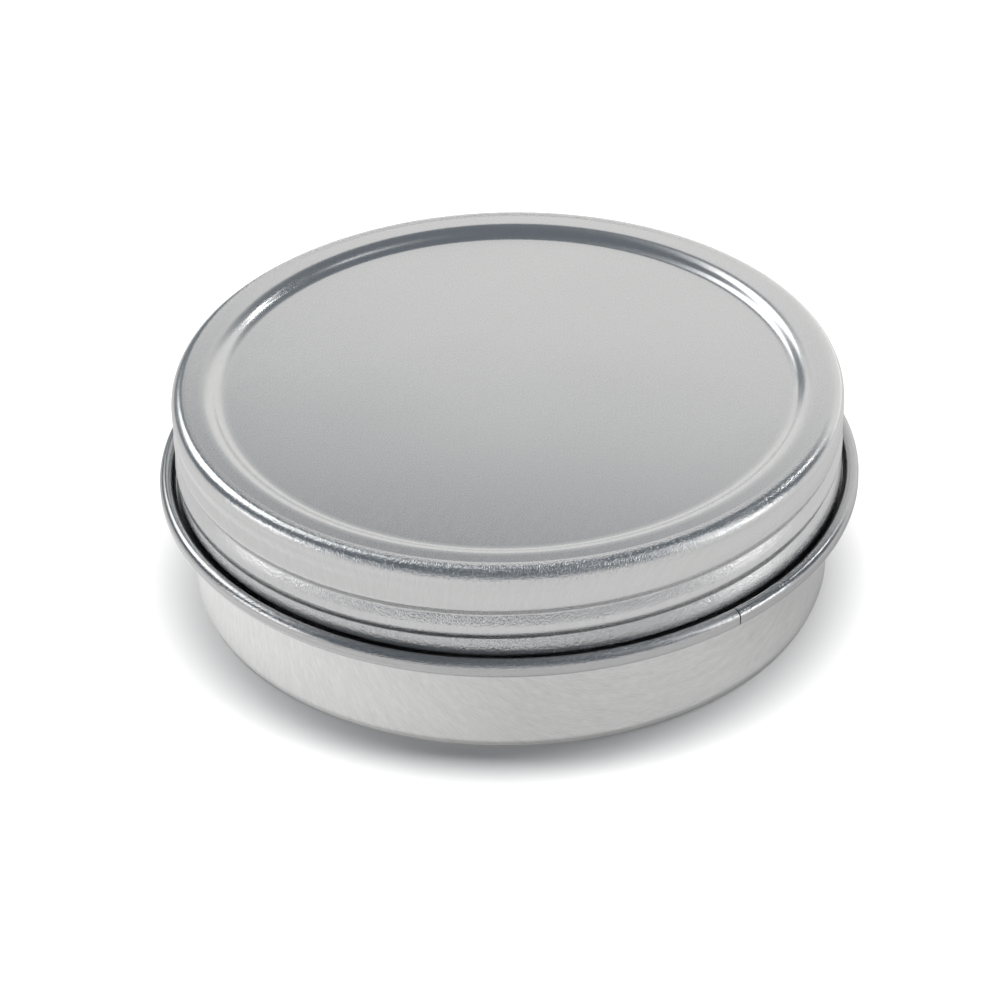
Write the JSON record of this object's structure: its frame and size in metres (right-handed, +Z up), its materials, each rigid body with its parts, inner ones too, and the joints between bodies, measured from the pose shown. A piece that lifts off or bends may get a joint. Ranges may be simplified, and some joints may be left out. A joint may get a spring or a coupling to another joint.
{
  "type": "screw-top candle tin",
  "caption": "Shallow round screw-top tin of bare aluminium sheet: drawn pan, threaded neck with a rolled collar, and a lined lid with a recessed panel.",
  "frame": {"origin": "centre of the pan's flat underside", "axes": "+Z up along the tin's axis, towards the lid; -Y is the front, where the lid's thread is deepest; the neck ring's butt seam stands 52 degrees clockwise of +X seen from above"},
  "size_m": [0.0714, 0.0714, 0.0222],
  "materials": {
    "pan_metal": "satin rolled sheet",
    "neck_metal": "satin rolled sheet",
    "seam_compound": "matte cured compound",
    "liner_foam": "closed-cell foam",
    "lid_metal": "satin rolled sheet"
  },
  "bodies": {
    "base": {"base_pan": "pan_metal", "neck_ring": "neck_metal", "seam_compound": "seam_compound"},
    "liner": {"lid_liner": "liner_foam"},
    "lid": {"lid_shell": "lid_metal"}
  },
  "joints": [
    {"name": "lid_lift", "type": "slide", "parent": "base", "child": "liner", "axis": [0, 0, 1], "range_m": [0, 0.0081]},
    {"name": "lid_turn", "type": "hinge", "parent": "liner", "child": "lid", "pos_m": [0, 0, 0.0222], "axis": [0, 0, 1], "range_deg": [0, 1080]}
  ],
  "couplings": [
    {"joint": "lid_lift", "follows": "lid_turn", "m_per_rad": 0.00042972}
  ]
}
